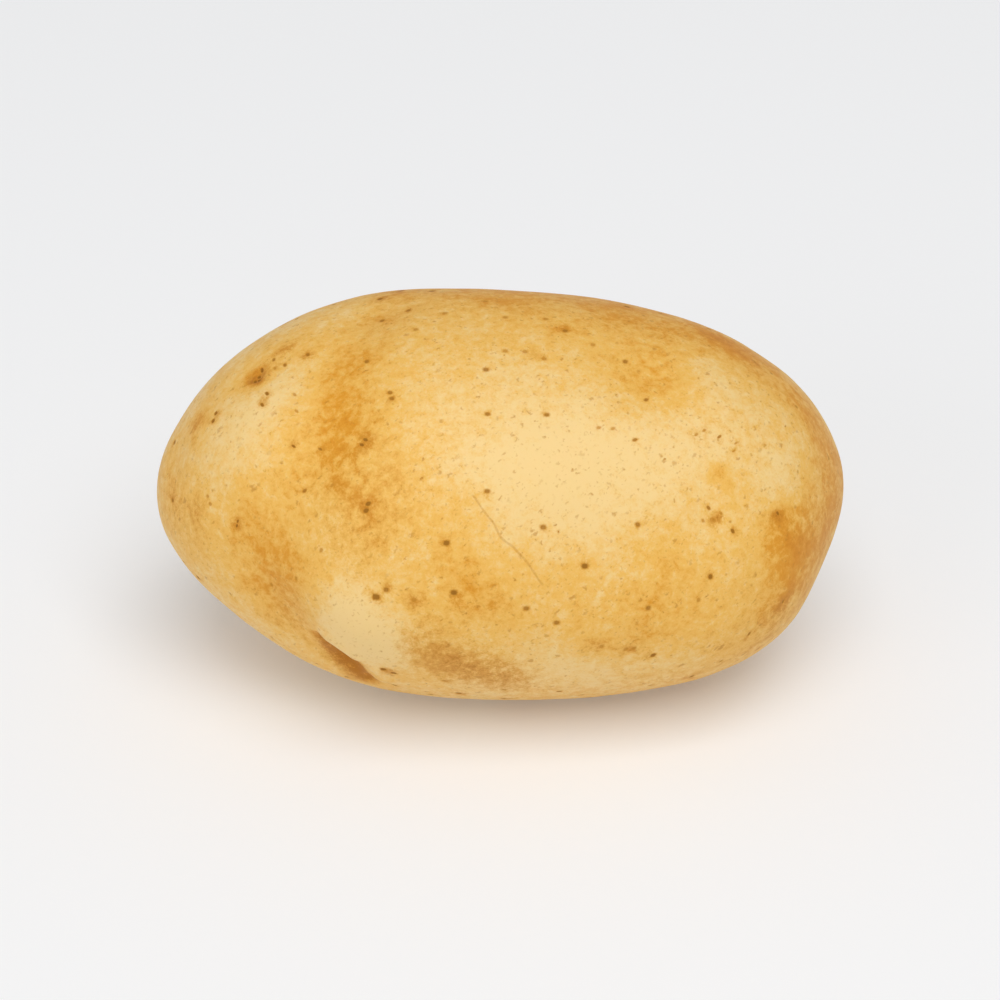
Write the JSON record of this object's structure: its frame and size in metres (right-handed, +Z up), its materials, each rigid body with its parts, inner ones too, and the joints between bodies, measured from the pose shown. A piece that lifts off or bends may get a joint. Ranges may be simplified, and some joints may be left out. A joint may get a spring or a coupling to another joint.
{
  "type": "potato",
  "caption": "Long oval table potato with smooth yellow skin, shallow eyes and fine brown freckles, lying on a small flat spot.",
  "frame": {"origin": "bottom centre of the potato's box, on the plane of the flat spot that it rests on", "axes": "+X along the potato from its rose end to its stem end, +Z up from the flat spot, -Y its front"},
  "size_m": [0.095, 0.06, 0.0545],
  "materials": {
    "potato_skin": "satin"
  },
  "bodies": {
    "root": {"potato": "potato_skin"}
  },
  "joints": []
}
